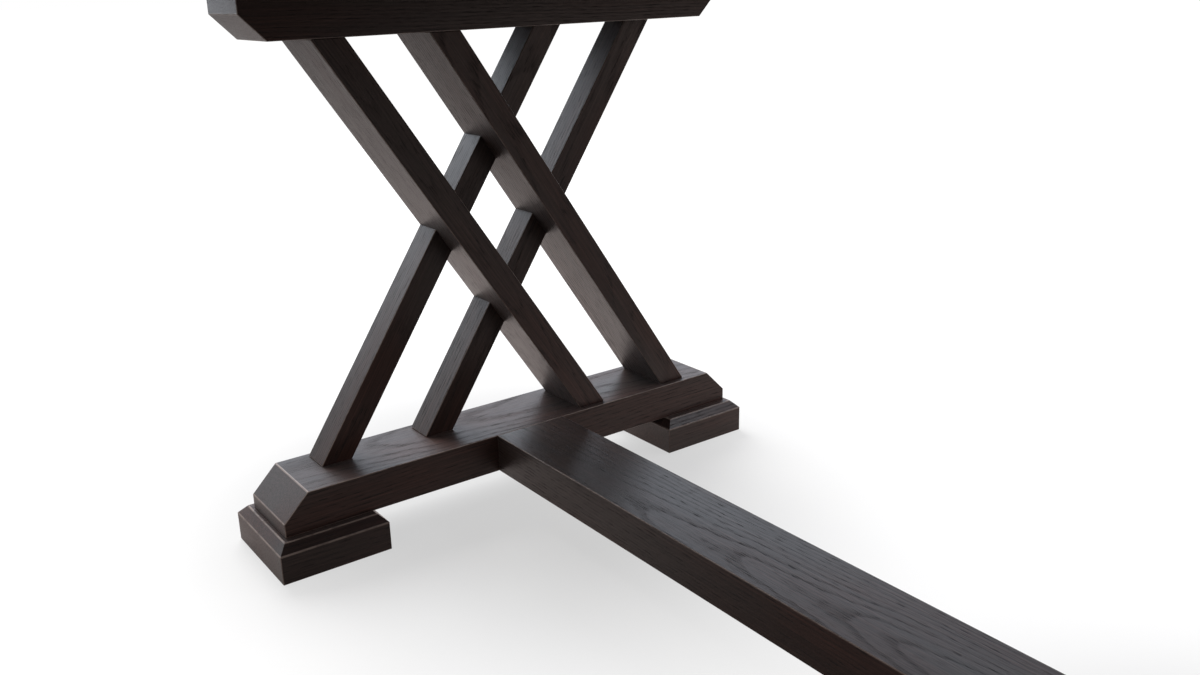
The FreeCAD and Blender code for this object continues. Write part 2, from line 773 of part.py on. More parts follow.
def check(pieces):
    for thing in doc.Objects:
        if "Invalid" in thing.State or "Error" in thing.State:
            raise ValueError(f"{thing.Label} is not up to date: {thing.State}")
    for piece in pieces:
        if piece.Shape.isNull() or not piece.Shape.isValid() or not piece.Shape.Solids:
            raise ValueError(f"{piece.Label} has no sound solid")


fill_sheet()
pieces = [make_board(number) for number in range(1, board_count + 1)]
trestle = make_trestle()
pieces += trestle + [turn_round(piece) for piece in trestle]
pieces.append(make_stretcher())
doc.recompute()
check(pieces)
os.makedirs("parts", exist_ok=True)
for piece in pieces:
    piece.Shape.exportStep(f"parts/{piece.Label}.step")
    box = piece.Shape.BoundBox
    extent = f"{box.XLength:.1f} x {box.YLength:.1f} x {box.ZLength:.1f}"
    print(f"{piece.Label}: {len(piece.Shape.Solids)} solid, {extent}")
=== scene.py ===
import json
import math

import bmesh
import bpy
import numpy as np
from mathutils import Matrix, Vector


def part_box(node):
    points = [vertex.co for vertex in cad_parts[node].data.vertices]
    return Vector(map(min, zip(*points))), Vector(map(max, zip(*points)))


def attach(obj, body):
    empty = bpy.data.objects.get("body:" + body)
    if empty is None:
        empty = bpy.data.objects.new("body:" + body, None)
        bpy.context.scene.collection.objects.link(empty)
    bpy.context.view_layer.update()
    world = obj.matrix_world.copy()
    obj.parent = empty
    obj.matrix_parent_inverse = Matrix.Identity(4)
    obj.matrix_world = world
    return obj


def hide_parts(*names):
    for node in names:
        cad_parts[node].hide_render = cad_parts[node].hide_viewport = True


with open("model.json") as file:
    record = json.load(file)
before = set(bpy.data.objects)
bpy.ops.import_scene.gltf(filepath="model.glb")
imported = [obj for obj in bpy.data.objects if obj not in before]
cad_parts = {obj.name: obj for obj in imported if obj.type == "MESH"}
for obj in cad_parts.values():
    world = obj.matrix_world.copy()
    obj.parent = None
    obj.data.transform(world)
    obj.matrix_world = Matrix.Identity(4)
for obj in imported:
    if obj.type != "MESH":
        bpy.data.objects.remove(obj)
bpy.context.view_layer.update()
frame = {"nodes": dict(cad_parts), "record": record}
nodes = frame["nodes"]
scene = bpy.context.scene
scene.view_settings.view_transform = "Standard"
print("frame loaded:", len(nodes), "nodes")


# Camera, at the photograph's viewing angle

photoCamera = {
    "place": (0.6619, -0.7889, 0.7251),  # metres
    "azimuth": 34.836,  # degrees that the view turns from -X towards +Y
    "pitch": 17.869,  # degrees below the horizon
    "roll": -1.827,
    "focalPixels": 1088.2,
    "centrePixel": (569.5, 329.7),
    "imageSize": (1200, 675),
    "sensor": 36.0,  # millimetres
    "nearest": 0.01,  # metres from the lens at which the view begins
}


def makeCamera(spec):
    azimuth, pitch, roll = (math.radians(spec[key]) for key in ("azimuth", "pitch", "roll"))
    forward = Vector((
        -math.cos(azimuth) * math.cos(pitch),
        math.sin(azimuth) * math.cos(pitch),
        -math.sin(pitch),
    ))
    level = forward.cross(Vector((0, 0, 1))).normalized()
    upright = level.cross(forward)
    right = math.cos(roll) * level + math.sin(roll) * upright
    up = math.cos(roll) * upright - math.sin(roll) * level
    data = bpy.data.cameras.new("photoCamera")
    data.sensor_width = spec["sensor"]
    width, height = spec["imageSize"]
    data.lens = spec["focalPixels"] * spec["sensor"] / width
    data.shift_x = (width / 2 - spec["centrePixel"][0]) / width
    data.shift_y = (spec["centrePixel"][1] - height / 2) / width
    data.clip_start = spec["nearest"]
    camera = bpy.data.objects.new("photoCamera", data)
    turned = Matrix((right, up, -forward)).transposed().to_4x4()
    camera.matrix_world = Matrix.Translation(Vector(spec["place"])) @ turned
    scene.collection.objects.link(camera)
    scene.camera = camera


makeCamera(photoCamera)
print("camera placed")


# Small helpers for shader nodes


def addNode(tree, kind, inputs=None, **settings):
    made = tree.nodes.new(kind)
    for key, value in settings.items():
        setattr(made, key, value)
    for key, value in (inputs or {}).items():
        if isinstance(value, bpy.types.NodeSocket):
            tree.links.new(value, made.inputs[key])
        else:
            made.inputs[key].default_value = value
    return made


def calc(tree, operation, *terms):
    return addNode(tree, "ShaderNodeMath", dict(enumerate(terms)), operation=operation).outputs[0]


def calcVector(tree, operation, *terms):
    return addNode(tree, "ShaderNodeVectorMath", dict(enumerate(terms)), operation=operation).outputs[0]


def remap(tree, value, low, high, newLow=0.0, newHigh=1.0):
    spread = {"Value": value, 1: low, 2: high, 3: newLow, 4: newHigh}
    return addNode(tree, "ShaderNodeMapRange", spread, interpolation_type="SMOOTHSTEP").outputs[0]


def mixColour(tree, factor, first, second, blend="MIX"):
    parts = {0: factor, 6: first, 7: second}
    return addNode(tree, "ShaderNodeMix", parts, data_type="RGBA", blend_type=blend).outputs[2]


noiseMiddle = (0.5, 0.5, 0.5)  # mean of the noise's colour


def noise(tree, vector, detail, roughness=0.5):
    parts = {"Vector": vector, "Scale": 1.0, "Detail": detail, "Roughness": roughness}
    return addNode(tree, "ShaderNodeTexNoise", parts)


def newGroup(name, inputs, outputs):
    group = bpy.data.node_groups.new(name, "ShaderNodeTree")
    for label, kind in inputs:
        group.interface.new_socket(label, in_out="INPUT", socket_type=kind)
    for label, kind in outputs:
        group.interface.new_socket(label, in_out="OUTPUT", socket_type=kind)
    entry = group.nodes.new("NodeGroupInput")
    leave = group.nodes.new("NodeGroupOutput")
    return group, entry.outputs, leave.inputs


def newMaterial(name):
    material = bpy.data.materials.new(name)
    material.use_nodes = True
    tree = material.node_tree
    tree.nodes.clear()
    shader = tree.nodes.new("ShaderNodeBsdfPrincipled")
    ending = tree.nodes.new("ShaderNodeOutputMaterial")
    tree.links.new(shader.outputs[0], ending.inputs["Surface"])
    return material, tree, shader


def addRelief(tree, shader, height, finish):
    relief = {"Height": height, "Strength": finish["bump"], "Distance": finish["bumpDepth"]}
    tree.links.new(addNode(tree, "ShaderNodeBump", relief).outputs[0], shader.inputs["Normal"])


# Wood: growth rings about a pith that leans through the board, cut by its faces

figure = {
    "bend": 0.012,  # metres that the rings wander along a whole board
    "bendStretch": (1.7, 6.0, 6.0),  # waves per metre, along the grain and across it
    "ripple": 0.0022,  # metres of shorter waves on top of that
    "rippleStretch": (13.0, 32.0, 32.0),
    "wanderDetail": 2.0,  # layers of ever finer noise, here and below
    "fibreStretch": (7.0, 380.0, 380.0),
    "fibreDetail": (3.0, 0.62),  # layers, and how much the finer ones count
    "poreStretch": (58.0, 860.0, 860.0),
    "poreDetail": 0.0,
    "blotchStretch": (2.4, 11.0, 11.0),
    "blotchDetail": 2.0,
    "earlyRise": (0.0, 0.10),  # shares of a ring's width
    "earlyFall": (0.14, 0.55),
    "rowDepth": 0.26,  # darkness of the early wood, as a share of an open pore's
    "endRows": 0.25,  # the share of it that is left on end grain
    "poreOpens": (0.54, 0.68),
    "poreLate": 0.22,
    "poreEarly": 0.64,  # added to that in the early wood
    "toneSpread": (1.8, -0.4),  # gain and offset of the fibres' tone
    "fibreHeight": 0.5,
    "poreHeight": -0.8,
    "seedStep": (7.31, 3.17, 5.53),  # how far the next seed lies in the noise
}


def buildFigureGroup(spec):
    group, given, result = newGroup(
        "woodFigure",
        [("Vector", "NodeSocketVector"), ("Seed", "NodeSocketFloat"), ("Pith", "NodeSocketVector"),
         ("Lean", "NodeSocketFloat"), ("Ring Width", "NodeSocketFloat"), ("End", "NodeSocketFloat")],
        [("Tone", "NodeSocketFloat"), ("Pores", "NodeSocketFloat"), ("Blotch", "NodeSocketFloat"),
         ("Height", "NodeSocketFloat")],
    )
    seedScale = {0: spec["seedStep"], "Scale": given["Seed"]}
    start = addNode(group, "ShaderNodeVectorMath", seedScale, operation="SCALE").outputs[0]

    def stretched(amounts):
        return calcVector(group, "MULTIPLY_ADD", given["Vector"], amounts, start)

    def wander(amounts, reach):
        # a shift across the grain, up to reach either way
        drift = noise(group, stretched(amounts), spec["wanderDetail"]).outputs["Color"]
        drift = calcVector(group, "SUBTRACT", drift, noiseMiddle)
        return calcVector(group, "MULTIPLY", drift, (0.0, 2 * reach, 2 * reach))

    # the rings' radius is the distance from the leaning pith, with slow and short wanders
    moved = calcVector(group, "ADD", given["Vector"], wander(spec["bendStretch"], spec["bend"]))
    moved = calcVector(group, "ADD", moved, wander(spec["rippleStretch"], spec["ripple"]))
    moved = calcVector(group, "SUBTRACT", moved, given["Pith"])
    apart = addNode(group, "ShaderNodeSeparateXYZ", {0: moved}).outputs
    deep = calc(group, "MULTIPLY_ADD", apart["X"], given["Lean"], apart["Z"])
    squares = calc(group, "ADD", calc(group, "POWER", apart["Y"], 2.0), calc(group, "POWER", deep, 2.0))
    rings = calc(group, "FRACT", calc(group, "DIVIDE", calc(group, "SQRT", squares), given["Ring Width"]))
    early = remap(group, rings, *spec["earlyRise"])
    early = calc(group, "MULTIPLY", early, remap(group, rings, *spec["earlyFall"], 1.0, 0.0))
    early = calc(group, "MULTIPLY", early, remap(group, given["End"], 0.0, 1.0, 1.0, spec["endRows"]))

    # long fibres, and short open pores that crowd in the early wood
    fibre = noise(group, stretched(spec["fibreStretch"]), *spec["fibreDetail"]).outputs["Fac"]
    opened = noise(group, stretched(spec["poreStretch"]), spec["poreDetail"]).outputs["Fac"]
    opened = remap(group, opened, *spec["poreOpens"])
    crowd = calc(group, "MULTIPLY_ADD", early, spec["poreEarly"], spec["poreLate"])
    rows = calc(group, "MULTIPLY", early, spec["rowDepth"])
    pores = calc(group, "MAXIMUM", calc(group, "MULTIPLY", opened, crowd), rows)
    blotch = noise(group, stretched(spec["blotchStretch"]), spec["blotchDetail"]).outputs["Fac"]

    tone = calc(group, "MULTIPLY_ADD", fibre, *spec["toneSpread"])
    relief = calc(group, "MULTIPLY", fibre, spec["fibreHeight"])
    height = calc(group, "MULTIPLY_ADD", pores, spec["poreHeight"], relief)
    group.links.new(tone, result["Tone"])
    group.links.new(pores, result["Pores"])
    group.links.new(blotch, result["Blotch"])
    group.links.new(height, result["Height"])
    return group


paintedHighlightAndEnds = {
    "fade": (0.35, 1.0),  # shares of the painted highlight's width over which it dies out
    "patchStretch": (60.0, 60.0, 60.0),  # waves per metre
    "patchDetail": 3.0,
    "patchRange": (0.3, 0.55),
    "patchLeast": 0.5,
    "endDepth": 0.0015,  # metres under an end face or a slope that still show end grain
}


def buildEdgeGroup(spec):
    # masks from the distances to a board's six faces and to the slopes that cut its corners:
    # a point gets the painted highlight of an eased edge where the second nearest of these faces is near
    # too, and lies on end grain where the end face or the slope across the grain is near
    group, given, result = newGroup(
        "paintedHighlightAndEndGrain",
        [("Vector", "NodeSocketVector"), ("Half Size", "NodeSocketVector"), ("Width", "NodeSocketFloat"),
         ("Slope Along", "NodeSocketVector"), ("Slope Across", "NodeSocketVector")],
        [("Painted Highlight", "NodeSocketFloat"), ("End", "NodeSocketFloat")],
    )
    folded = calcVector(group, "ABSOLUTE", given["Vector"])
    inside = calcVector(group, "SUBTRACT", given["Half Size"], folded)
    apart = addNode(group, "ShaderNodeSeparateXYZ", {0: inside}).outputs
    lesser = calc(group, "MINIMUM", apart["X"], apart["Y"])
    greater = calc(group, "MAXIMUM", apart["X"], apart["Y"])
    nearest = calc(group, "MINIMUM", lesser, apart["Z"])
    second = calc(group, "MAXIMUM", lesser, calc(group, "MINIMUM", greater, apart["Z"]))
    reach = addNode(group, "ShaderNodeSeparateXYZ", {0: folded}).outputs
    height = addNode(group, "ShaderNodeSeparateXYZ", {0: given["Vector"]}).outputs["Z"]
    slopes = {}
    for label, axis in (("Slope Along", "X"), ("Slope Across", "Y")):
        plane = addNode(group, "ShaderNodeSeparateXYZ", {0: given[label]}).outputs
        level = calc(group, "MULTIPLY", reach[axis], plane["X"])
        level = calc(group, "MULTIPLY_ADD", height, plane["Y"], level)
        slopes[axis] = calc(group, "SUBTRACT", plane["Z"], level)
        second = calc(group, "MINIMUM", second, calc(group, "MAXIMUM", slopes[axis], nearest))
    patches = calcVector(group, "MULTIPLY", given["Vector"], spec["patchStretch"])
    patchy = noise(group, patches, spec["patchDetail"])
    patchy = remap(group, patchy.outputs["Fac"], *spec["patchRange"], spec["patchLeast"], 1.0)
    # the painted edge highlight's mask, in patches
    near = remap(group, calc(group, "DIVIDE", second, given["Width"]), *spec["fade"], 1.0, 0.0)
    ended = remap(group, calc(group, "MINIMUM", apart["X"], slopes["X"]), 0.0, spec["endDepth"], 1.0, 0.0)
    group.links.new(calc(group, "MULTIPLY", near, patchy), result["Painted Highlight"])
    group.links.new(ended, result["End"])
    return group


figureGroup = buildFigureGroup(figure)
edgeGroup = buildEdgeGroup(paintedHighlightAndEnds)

stainedOak = {
    "tones": (
        (0.0, (0.0100, 0.0056, 0.0045)),
        (0.5, (0.0235, 0.0134, 0.0108)),
        (1.0, (0.0470, 0.0270, 0.0220)),
    ),
    "pore": (0.0055, 0.0032, 0.0027, 1.0),
    # painted highlight: a pale line along the eased edges, standing in for the light they catch
    "paintedHighlight": (0.200, 0.162, 0.142, 1.0),
    "paintedHighlightAmount": 0.85,
    "paintedHighlightWidth": 0.0015,  # metres, the width of the painted edge highlight
    "redder": (1.24, 0.93, 0.86, 1.0),
    "bluer": (0.86, 0.98, 1.05, 1.0),
    "roughness": (0.33, 0.68),
    "specular": 0.24,
    "sheen": 0.10,
    "bump": 0.45,
    "bumpDepth": 0.00035,  # metres
}
rawBeech = {
    "tones": (
        (0.0, (0.42, 0.26, 0.14)),
        (0.5, (0.55, 0.36, 0.21)),
        (1.0, (0.66, 0.46, 0.29)),
    ),
    "pore": (0.30, 0.17, 0.09, 1.0),
    # painted highlight along the edges, faint on the beech
    "paintedHighlight": (0.70, 0.52, 0.36, 1.0),
    "paintedHighlightAmount": 0.2,
    "paintedHighlightWidth": 0.001,
    "redder": (1.04, 0.98, 0.95, 1.0),
    "bluer": (0.96, 1.0, 1.02, 1.0),
    "roughness": (0.55, 0.72),
    "specular": 0.35,
    "sheen": 0.0,
    "bump": 0.25,
    "bumpDepth": 0.0002,
}


woodShading = {
    "blotchRange": (0.35, 0.68),  # from the bluer stain to the redder one
    "poreRoughens": 1.1,
    "blotchRoughens": 0.7,
    "roughRange": (0.15, 1.4),
    "sheenRoughness": 0.4,
}


def makeWood(name, finish, place, cut):
    # place holds the board's centre, axes, half size and slopes
    # cut holds its seed, pith, lean and ring width
    material, tree, shader = newMaterial(name)
    where = tree.nodes.new("ShaderNodeTexCoord").outputs["Object"]
    turn = place["axes"].to_euler("XYZ")
    centred = {"Vector": where, "Location": place["centre"], "Rotation": turn}
    board = addNode(tree, "ShaderNodeMapping", centred, vector_type="TEXTURE").outputs[0]
    edge = addNode(tree, "ShaderNodeGroup", node_tree=edgeGroup)
    tree.links.new(board, edge.inputs["Vector"])
    for label, value in (("Half Size", place["half"]), ("Width", finish["paintedHighlightWidth"]),
                         ("Slope Along", place["slopes"][0]), ("Slope Across", place["slopes"][1])):
        edge.inputs[label].default_value = value
    wood = addNode(tree, "ShaderNodeGroup", node_tree=figureGroup)
    tree.links.new(board, wood.inputs["Vector"])
    tree.links.new(edge.outputs["End"], wood.inputs["End"])
    for label, key in (("Seed", "seed"), ("Pith", "pith"), ("Lean", "lean"), ("Ring Width", "ringWidth")):
        wood.inputs[label].default_value = cut[key]

    ramp = addNode(tree, "ShaderNodeValToRGB", {"Fac": wood.outputs["Tone"]})
    stops = ramp.color_ramp.elements
    stops.new(finish["tones"][1][0])
    for stop, (position, colour) in zip(stops, finish["tones"]):
        stop.position = position
        stop.color = (*colour, 1.0)
    blotch = wood.outputs["Blotch"]
    warmth = remap(tree, blotch, *woodShading["blotchRange"])
    warm = mixColour(tree, warmth, finish["bluer"], finish["redder"])
    stain = mixColour(tree, 1.0, ramp.outputs["Color"], warm, "MULTIPLY")
    stain = mixColour(tree, wood.outputs["Pores"], stain, finish["pore"])
    # painted highlight: the base colour is lightened along the edges
    paintedHighlight = calc(tree, "MULTIPLY", edge.outputs["Painted Highlight"], finish["paintedHighlightAmount"])
    tree.links.new(mixColour(tree, paintedHighlight, stain, finish["paintedHighlight"]), shader.inputs["Base Color"])

    uneven = calc(tree, "MULTIPLY", blotch, woodShading["blotchRoughens"])
    uneven = calc(tree, "MULTIPLY_ADD", wood.outputs["Pores"], woodShading["poreRoughens"], uneven)
    rough = remap(tree, uneven, *woodShading["roughRange"], *finish["roughness"])
    tree.links.new(rough, shader.inputs["Roughness"])
    shader.inputs["Specular IOR Level"].default_value = finish["specular"]
    shader.inputs["Sheen Weight"].default_value = finish["sheen"]
    shader.inputs["Sheen Roughness"].default_value = woodShading["sheenRoughness"]
    addRelief(tree, shader, wood.outputs["Height"], finish)
    return material


def cornersOf(node):
    mesh = nodes[node].data
    flat = np.empty(len(mesh.vertices) * 3, np.float32)
    mesh.vertices.foreach_get("co", flat)
    return flat.reshape(-1, 3).astype(float)


cornerCut = {"least": 0.004, "within": 0.0002, "none": (0.0, 0.0, 1.0)}  # metres


def slopeOf(points, half, axis):
    # the slope that cuts a board's corner on one axis, as the plane's two slants and its distance
    for side in (1.0, -1.0):
        level = side * points[:, 2]
        reach = np.abs(points[level > half[2] - cornerCut["within"], axis]).max()
        run = half[axis] - reach
        if run > cornerCut["least"]:
            ends = np.abs(points[:, axis]) > half[axis] - cornerCut["within"]
            drop = half[2] - level[ends].max()
            slant = np.array((drop, run)) / math.hypot(drop, run)
            return (slant[0], side * slant[1], slant[0] * reach + slant[1] * half[2])
    return cornerCut["none"]


def boardPlace(node, grain, deep):
    # a board's own axes: the grain, the way across it and its depth, with the extent along each
    axes = np.column_stack([grain, np.cross(deep, grain), deep])
    along = cornersOf(node) @ axes
    middle = (along.min(0) + along.max(0)) / 2
    half = along.max(0) - middle
    return {
        "axes": Matrix(axes.tolist()),
        "centre": Vector(axes @ middle),
        "half": Vector(half),
        "slopes": [slopeOf(along - middle, half, axis) for axis in (0, 1)],
    }


braceEndShare = 0.0025  # of a brace's height, within which a point counts as part of its end


def leanOf(node):
    # the way a brace runs, from the middle of its foot to the middle of its head
    points = cornersOf(node)
    low, high = points[:, 2].min(), points[:, 2].max()
    ends = []
    for level in (low, high):
        end = points[np.abs(points[:, 2] - level) < braceEndShare * (high - low)]
        ends.append((end.min(0) + end.max(0)) / 2)
    run = ends[1] - ends[0]
    return run / np.linalg.norm(run)


alongX = np.array((1.0, 0.0, 0.0))
alongY = np.array((0.0, 1.0, 0.0))
alongZ = np.array((0.0, 0.0, 1.0))


def grainOf(node):
    # boards and the stretcher run along the table, rails and feet across it, braces on the slant
    if "brace_" in node and "tenons" not in node:
        return leanOf(node), alongX
    if node.startswith("top_board") or node == "stretcher" or "dowels" in node:
        return alongX, alongZ
    if "tenons" in node:
        return alongZ, alongX
    return alongY, alongZ


sawing = {
    "pithAcross": (-0.035, 0.035),  # metres from the board's middle
    "pithDeep": (0.05, 0.11),
    "lean": (0.02, 0.06),
    "ringWidth": (0.0040, 0.0060),
    "draw": 41,  # another number saws the boards from other places
}
sawDraw = np.random.default_rng(sawing["draw"])


def drawCut(seed):
    # each board is sawn from another place in the log
    across = sawDraw.uniform(*sawing["pithAcross"])
    deep = sawDraw.uniform(*sawing["pithDeep"]) * sawDraw.choice((-1.0, 1.0))
    lean = sawDraw.uniform(*sawing["lean"]) * sawDraw.choice((-1.0, 1.0))
    ringWidth = sawDraw.uniform(*sawing["ringWidth"])
    return {"seed": seed, "pith": (0.0, across, deep), "lean": lean, "ringWidth": ringWidth}


def setMaterial(piece, material):
    if not piece.material_slots:
        piece.data.materials.append(material)
    for slot in piece.material_slots:
        slot.material = material


slotOf = {row["node"]: row["material_slot"] for row in frame["record"]["subparts"]}
woodMaterials = {}
for count, node in enumerate(sorted(nodes)):
    finish = {"stained_oak": stainedOak, "beech": rawBeech}.get(slotOf[node])
    if finish:
        grain, deep = grainOf(node)
        place = boardPlace(node, grain, deep)
        woodMaterials[node] = makeWood(f"{node}_wood", finish, place, drawCut(float(count)))
        setMaterial(nodes[node], woodMaterials[node])
print("wood finished:", len(woodMaterials), "boards")


# Metal and nylon

metalFinish = {
    "zinc_steel": {
        "colour": (0.56, 0.57, 0.60, 1.0),
        "dull": (0.36, 0.37, 0.40, 1.0),
        "roughness": (0.26, 0.48),
    },
    "insert_brass": {
        "colour": (0.66, 0.50, 0.24, 1.0),
        "dull": (0.42, 0.30, 0.14, 1.0),
        "roughness": (0.25, 0.50),
    },
}
nylonFinish = {
    "colour": (0.016, 0.016, 0.017, 1.0),
    "scuffed": (0.045, 0.045, 0.047, 1.0),
    "roughness": (0.48, 0.66),
    "bump": 0.25,
    "bumpDepth": 0.00012,
}


scuffing = {
    "cloudStretch": (140.0, 140.0, 140.0),  # waves per metre
    "cloudDetail": 4.0,
    "cloudRange": (0.35, 0.7),
    "markStretch": (900.0, 900.0, 2600.0),
    "markDetail": 3.0,
    "cloudShare": 0.5,  # of a metal's roughness
    "markShare": 0.5,
    "metalRange": (0.1, 0.9),  # from the smoothest metal to the roughest
    "nylonRange": (0.2, 0.8),
}


def buildScuffGroup(spec):
    # cloudy dulling and fine handling marks
    group, given, result = newGroup(
        "scuffs",
        [("Vector", "NodeSocketVector")],
        [("Dull", "NodeSocketFloat"), ("Fine", "NodeSocketFloat")],
    )
    clouds = calcVector(group, "MULTIPLY", given["Vector"], spec["cloudStretch"])
    clouds = noise(group, clouds, spec["cloudDetail"])
    marks = calcVector(group, "MULTIPLY", given["Vector"], spec["markStretch"])
    marks = noise(group, marks, spec["markDetail"])
    group.links.new(remap(group, clouds.outputs["Fac"], *spec["cloudRange"]), result["Dull"])
    group.links.new(marks.outputs["Fac"], result["Fine"])
    return group


scuffGroup = buildScuffGroup(scuffing)


def addScuffs(tree):
    where = tree.nodes.new("ShaderNodeTexCoord").outputs["Object"]
    scuffs = addNode(tree, "ShaderNodeGroup", node_tree=scuffGroup)
    tree.links.new(where, scuffs.inputs["Vector"])
    return scuffs.outputs["Dull"], scuffs.outputs["Fine"]


def makeMetal(name, finish):
    material, tree, shader = newMaterial(name)
    dull, fine = addScuffs(tree)
    tree.links.new(mixColour(tree, dull, finish["colour"], finish["dull"]), shader.inputs["Base Color"])
    uneven = calc(tree, "MULTIPLY", dull, scuffing["cloudShare"])
    uneven = calc(tree, "MULTIPLY_ADD", fine, scuffing["markShare"], uneven)
    rough = remap(tree, uneven, *scuffing["metalRange"], *finish["roughness"])
    tree.links.new(rough, shader.inputs["Roughness"])
    shader.inputs["Metallic"].default_value = 1.0
    return material


def makeNylon(finish):
    material, tree, shader = newMaterial("nylon")
    dull, fine = addScuffs(tree)
    colour = mixColour(tree, dull, finish["colour"], finish["scuffed"])
    tree.links.new(colour, shader.inputs["Base Color"])
    rough = remap(tree, fine, *scuffing["nylonRange"], *finish["roughness"])
    tree.links.new(rough, shader.inputs["Roughness"])
    addRelief(tree, shader, fine, finish)
    return material


hardware = {name: makeMetal(name, finish) for name, finish in metalFinish.items()}
hardware["nylon"] = makeNylon(nylonFinish)
for node in nodes:
    if slotOf[node] in hardware:
        setMaterial(nodes[node], hardware[slotOf[node]])
print("hardware finished")


# Turned pieces: a radius over angle and station


def turnedPoints(radius, height, centre, axes=np.eye(3)):
    # radius and height are arrays of stations by angles, and a solid starts and ends on the axis
    angle = np.linspace(0, 2 * np.pi, radius.shape[1], endpoint=False)[None, :]
    points = np.stack([radius * np.cos(angle), radius * np.sin(angle), height], axis=-1).reshape(-1, 3)
    return points @ axes.T + np.asarray(centre)


def ringFaces(stations, columns):
    # each face joins two neighbours of a station with the two above them,
    # and the last column meets the first
    row, column = np.meshgrid(np.arange(stations - 1), np.arange(columns), indexing="ij")
    following = (column + 1) % columns
    return np.stack([
        row * columns + column,
        row * columns + following,
        (row + 1) * columns + following,
        (row + 1) * columns + column,
    ], axis=-1).reshape(-1, 4)


def meshOf(name, points, faces):
    mesh = bpy.data.meshes.new(name)
    mesh.from_pydata(points.tolist(), [], faces.tolist())
    mesh.update()
    return mesh


turning = {
    "mergeWithin": 1e-7,  # metres
    "sharpAngle": 35.0,  # degrees between faces that still shade as one
}


def closeMesh(mesh, solid=True):
    # the stations on the axis are merged to one point each, and a solid's faces turned outwards
    work = bmesh.new()
    work.from_mesh(mesh)
    bmesh.ops.remove_doubles(work, verts=work.verts, dist=turning["mergeWithin"])
    bmesh.ops.dissolve_degenerate(work, edges=work.edges, dist=turning["mergeWithin"])
    if solid:
        bmesh.ops.recalc_face_normals(work, faces=work.faces)
    work.to_mesh(mesh)
    work.free()


def addPiece(name, mesh, material, body, replaced):
    closeMesh(mesh)
    mesh.shade_smooth()
    mesh.set_sharp_from_angle(angle=math.radians(turning["sharpAngle"]))
    mesh.materials.append(material)
    piece = bpy.data.objects.new(name, mesh)
    scene.collection.objects.link(piece)
    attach(piece, body)
    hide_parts(replaced)


def stackStations(rows, columns):
    # rows of (radius, height), each radius a number or an array over the angle
    radius = np.stack([np.broadcast_to(np.asarray(reach, float), columns) for reach, _ in rows])
    height = np.stack([np.full(columns, level, float) for _, level in rows])
    return radius, height


levellerStud = {
    "columns": 48,
    "pitch": 0.0015,  # metres, as the other lengths here
    "threadDepth": 0.00092,
    "rowsPerTurn": 8,
    "tipChamfer": 0.0012,
    "collarWidth": 0.017,
    "collarHeight": 0.005,
    "collarChamfer": 0.0007,
    "cornerCutShare": 1.13,  # of the collar's half width, where its six corners are turned off
    "spigotRadius": 0.006,
    "spigotHeight": 0.004,
    "studRadius": 0.005,
    "edge": 0.0004,
    "clearance": 0.00006,  # metres to the pad's socket and hub, so that no two faces share a plane
}


def makeStud(corner, spec):
    # thread: the radius falls from the crest by a triangle wave
    # of (height over pitch less angle over a turn)
    low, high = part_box(f"{corner}_leveller_stud")
    centre = ((low.x + high.x) / 2, (low.y + high.y) / 2, 0.0)
    columns = spec["columns"]
    angle = np.linspace(0, 2 * np.pi, columns, endpoint=False)
    sixth = math.pi / 3
    flat = spec["collarWidth"] / 2
    hexagon = flat / np.cos((angle + sixth / 2) % sixth - sixth / 2)
    hexagon = np.minimum(hexagon, flat * spec["cornerCutShare"])
    seat = low.z + spec["clearance"]
    collar = seat + spec["spigotHeight"]
    shank = low.z + spec["spigotHeight"] + spec["collarHeight"]
    foot = stackStations([
        (0.0, seat),
        (spec["spigotRadius"] - spec["edge"], seat),
        (spec["spigotRadius"], seat + spec["edge"]),
        (spec["spigotRadius"], collar),
        (flat, collar),
        (hexagon, collar + spec["collarChamfer"]),
        (hexagon, shank - spec["collarChamfer"]),
        (flat, shank),
    ], columns)
    levels = np.arange(shank, high.z, spec["pitch"] / spec["rowsPerTurn"])[:, None]
    phase = (levels / spec["pitch"] - angle / (2 * np.pi)) % 1.0
    groove = spec["threadDepth"] * (1 - np.abs(2 * phase - 1))
    fade = np.clip((levels - shank) / spec["pitch"], 0.0, 1.0)
    crest = spec["studRadius"] - np.clip(levels - (high.z - spec["tipChamfer"]), 0.0, None)
    thread = np.minimum(spec["studRadius"] - fade * groove, crest)
    tip = stackStations([(spec["studRadius"] - spec["tipChamfer"], high.z), (0.0, high.z)], columns)
    radius = np.vstack([foot[0], thread, tip[0]])
    height = np.vstack([foot[1], np.broadcast_to(levels, thread.shape), tip[1]])
    name = f"{corner}_threaded_stud"
    mesh = meshOf(name, turnedPoints(radius, height, centre), ringFaces(*radius.shape))
    steel = hardware["zinc_steel"]
    addPiece(name, mesh, steel, f"{corner}_stud", f"{corner}_leveller_stud")


levellerPad = {
    "columns": 144,
    "ribs": 36,
    "ribDepth": 0.0005,  # metres, as the other lengths here
    "edge": 0.0012,
    "edgeRows": 5,
    "rimWidth": 0.0022,
    "rimDrop": 0.0006,
    "socketRadius": 0.00605,
    "socketDepth": 0.004,
    "hubRadius": 0.0092,
}


